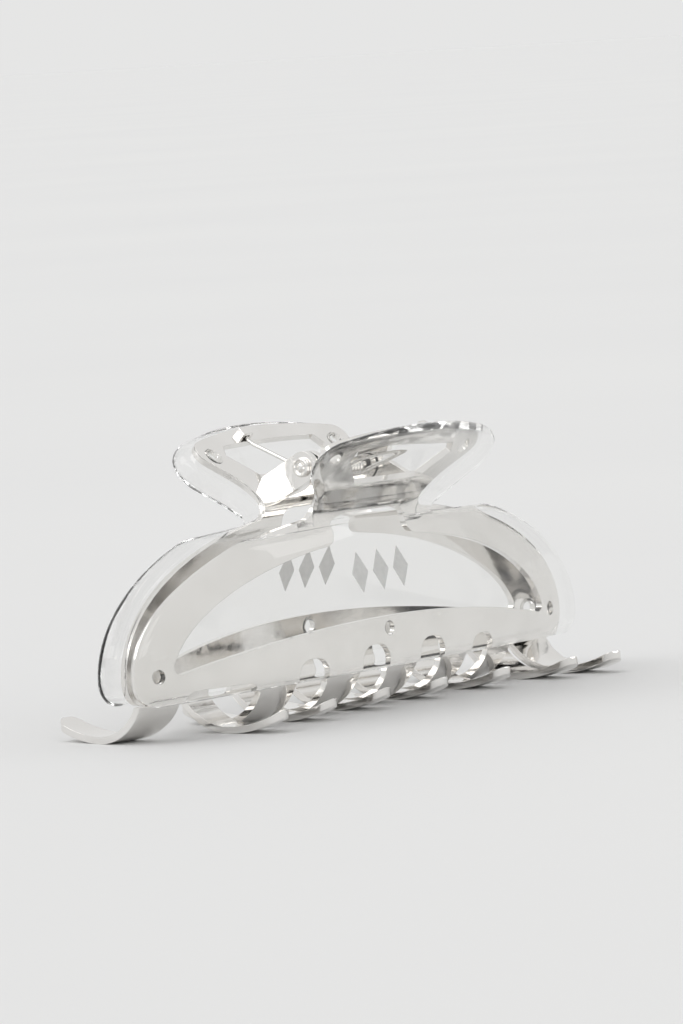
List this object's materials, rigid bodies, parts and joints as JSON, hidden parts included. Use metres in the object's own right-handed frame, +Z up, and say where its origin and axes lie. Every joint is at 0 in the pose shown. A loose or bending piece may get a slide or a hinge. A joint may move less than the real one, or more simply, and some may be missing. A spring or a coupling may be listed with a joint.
{
  "type": "claw hair clip",
  "caption": "Large claw hair clip: two bowed metal jaws with curled teeth, each backed by a thick clear shell, hinged on a rivet with a torsion spring.",
  "frame": {"origin": "middle of the clip, on the surface that its teeth stand on", "axes": "+X along the clip's length, +Z up from the teeth to the thumb tabs, front jaw on the -Y side"},
  "size_m": [0.1072, 0.0432, 0.046],
  "materials": {
    "polished_metal": "bright polished nickel plate on steel sheet",
    "spring_wire": "plated spring wire",
    "clear_resin": "water-clear, polished, rounded rims",
    "silver_ink": "thin satin silver print"
  },
  "bodies": {
    "back_jaw": {"back_frame": "polished_metal", "back_shell": "clear_resin", "back_print": "silver_ink", "hinge_pin": "polished_metal", "torsion_spring": "spring_wire"},
    "front_jaw": {"front_frame": "polished_metal", "front_shell": "clear_resin", "front_print": "silver_ink"}
  },
  "joints": [
    {"name": "jaw_opening", "type": "hinge", "parent": "back_jaw", "child": "front_jaw", "pos_m": [0, 0, 0.0391], "axis": [-1, 0, 0], "range_deg": [0, 90], "stiffness_Nm_per_rad": 0.08, "springref_deg": -68.75, "deforming": ["torsion_spring"]}
  ]
}
